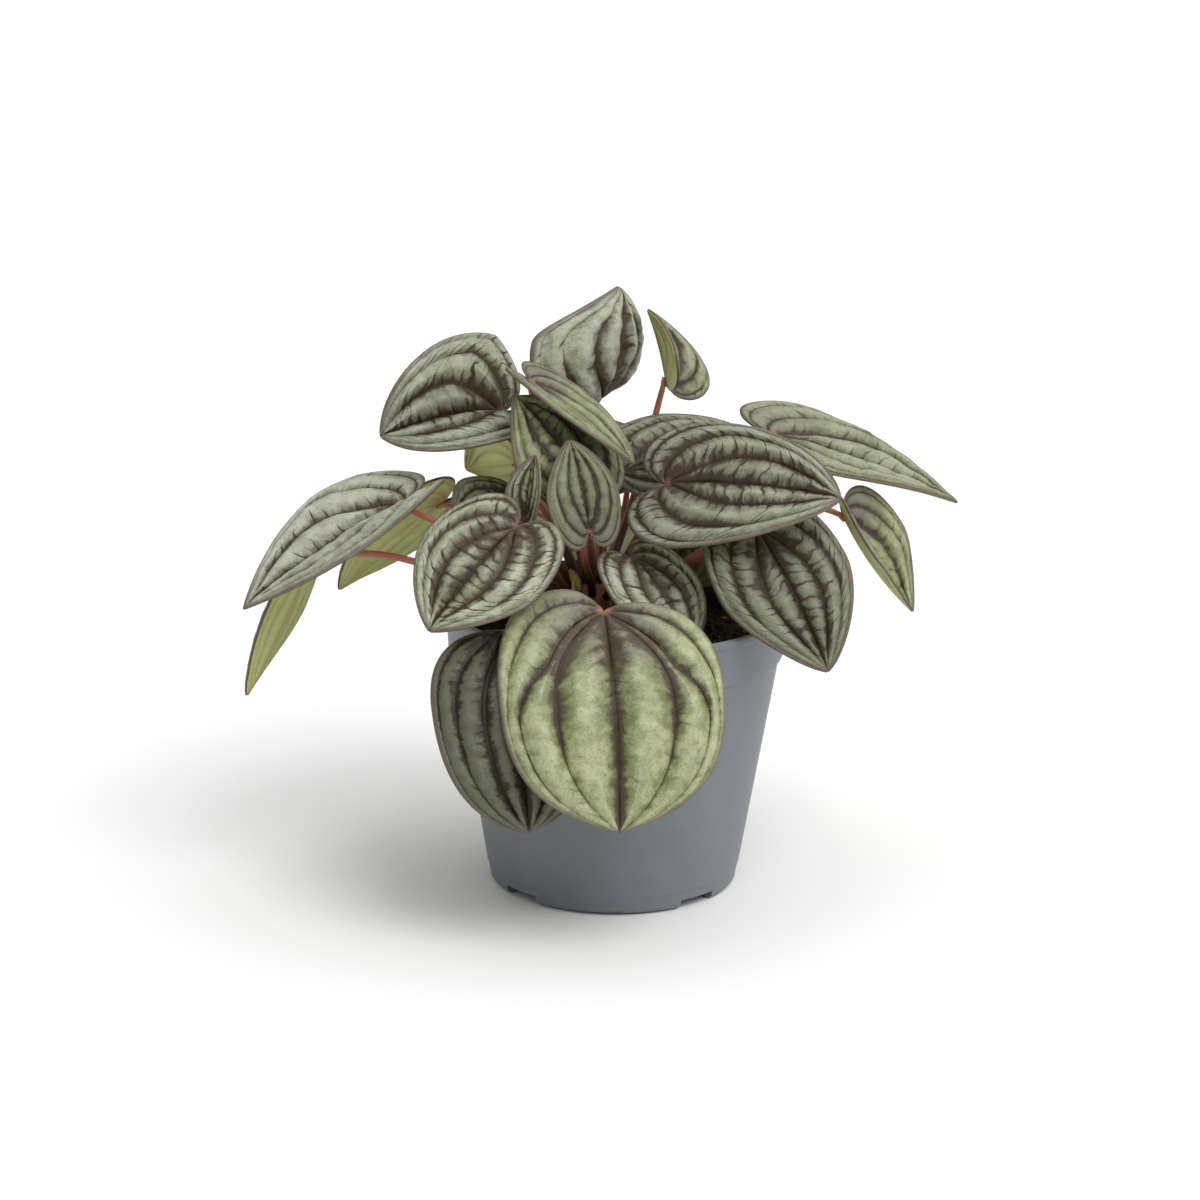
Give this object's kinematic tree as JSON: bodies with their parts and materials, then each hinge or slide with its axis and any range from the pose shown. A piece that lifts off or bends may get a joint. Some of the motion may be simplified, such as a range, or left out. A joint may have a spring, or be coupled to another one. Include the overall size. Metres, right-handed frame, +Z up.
{
  "type": "potted plant",
  "caption": "Potted peperomia: a rosette of heart-shaped, silvery green leaves with sunken dark veins, on thin coral stalks, in a grey-blue plastic nursery pot.",
  "frame": {"origin": "middle of the pot's centre foot, on the surface that the pot stands on", "axes": "+Z up along the pot's axis, -Y towards the front, where the largest leaf hangs over the rim, +X to the right as seen from the front"},
  "size_m": [0.2481, 0.1876, 0.2032],
  "materials": {
    "pot_plastic": "matte moulded polypropylene",
    "peat": "loose moist peat",
    "crown_stem": "smooth plant skin",
    "leaf": "satin, waxy and puffed between sunken veins",
    "petiole": "smooth satin plant skin"
  },
  "bodies": {
    "root": {"pot": "pot_plastic", "soil": "peat", "crown": "crown_stem", "leaf_01": "leaf", "petiole_01": "petiole", "leaf_02": "leaf", "petiole_02": "petiole", "leaf_03": "leaf", "petiole_03": "petiole", "leaf_04": "leaf", "petiole_04": "petiole", "leaf_05": "leaf", "petiole_05": "petiole", "leaf_06": "leaf", "petiole_06": "petiole", "leaf_07": "leaf", "petiole_07": "petiole", "leaf_08": "leaf", "petiole_08": "petiole", "leaf_09": "leaf", "petiole_09": "petiole", "leaf_10": "leaf", "petiole_10": "petiole", "leaf_11": "leaf", "petiole_11": "petiole", "leaf_12": "leaf", "petiole_12": "petiole", "leaf_13": "leaf", "petiole_13": "petiole", "leaf_14": "leaf", "petiole_14": "petiole", "leaf_15": "leaf", "petiole_15": "petiole", "leaf_16": "leaf", "petiole_16": "petiole", "leaf_17": "leaf", "petiole_17": "petiole", "leaf_18": "leaf", "petiole_18": "petiole", "leaf_19": "leaf", "petiole_19": "petiole", "leaf_20": "leaf", "petiole_20": "petiole", "leaf_21": "leaf", "petiole_21": "petiole", "leaf_22": "leaf", "petiole_22": "petiole", "leaf_23": "leaf", "petiole_23": "petiole", "leaf_24": "leaf", "petiole_24": "petiole", "leaf_25": "leaf", "petiole_25": "petiole", "leaf_26": "leaf", "petiole_26": "petiole", "leaf_27": "leaf", "petiole_27": "petiole", "leaf_28": "leaf", "petiole_28": "petiole"}
  },
  "joints": []
}
